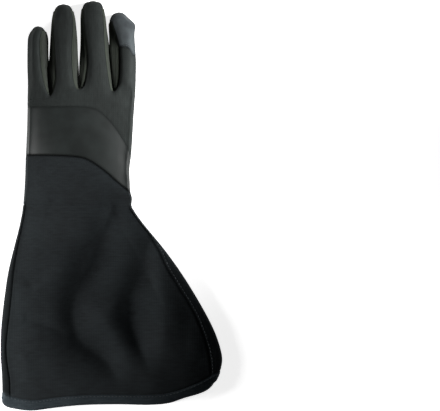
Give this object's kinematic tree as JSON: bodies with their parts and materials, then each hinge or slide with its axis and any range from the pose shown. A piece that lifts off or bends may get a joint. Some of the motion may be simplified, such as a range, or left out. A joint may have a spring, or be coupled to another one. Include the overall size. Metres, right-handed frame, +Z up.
{
  "type": "gauntlet work glove",
  "caption": "Left-hand work glove with a long flared gauntlet, knuckle band and fingertip cap, lying palm down and open at its mouth.",
  "frame": {"origin": "on the surface the glove lies on, under the middle of its bounding box", "axes": "+Y along the glove to the fingertips, +X to the thumb side, +Z up from the surface; the back of the hand faces +Z"},
  "size_m": [0.2216, 0.4089, 0.0283],
  "materials": {
    "stretch_fabric": "charcoal stretch fabric, matt with a fine weave",
    "suede_cap": "grey-blue brushed synthetic suede",
    "fourchette_fabric": "olive-grey stretch fabric, matt",
    "coated_band": "smooth olive-grey coated synthetic leather, low sheen",
    "wrist_fabric": "blue-black softshell, matt",
    "synthetic_leather": "dark grey synthetic leather, fine grain",
    "gauntlet_fabric": "black softshell, matt with soft folds",
    "gauntlet_hem_fabric": "black softshell, turned and stitched"
  },
  "bodies": {
    "root": {"hand_back": "stretch_fabric", "index_cap": "suede_cap", "fourchette_little_ring": "fourchette_fabric", "fourchette_ring_middle": "fourchette_fabric", "fourchette_middle_index": "fourchette_fabric", "knuckle_band": "coated_band", "wrist_back": "wrist_fabric", "palm": "synthetic_leather", "thumb_back": "stretch_fabric", "thumb_front": "synthetic_leather", "gauntlet_back": "gauntlet_fabric", "gauntlet_palm": "gauntlet_fabric", "gauntlet_hem": "gauntlet_hem_fabric"}
  },
  "joints": []
}
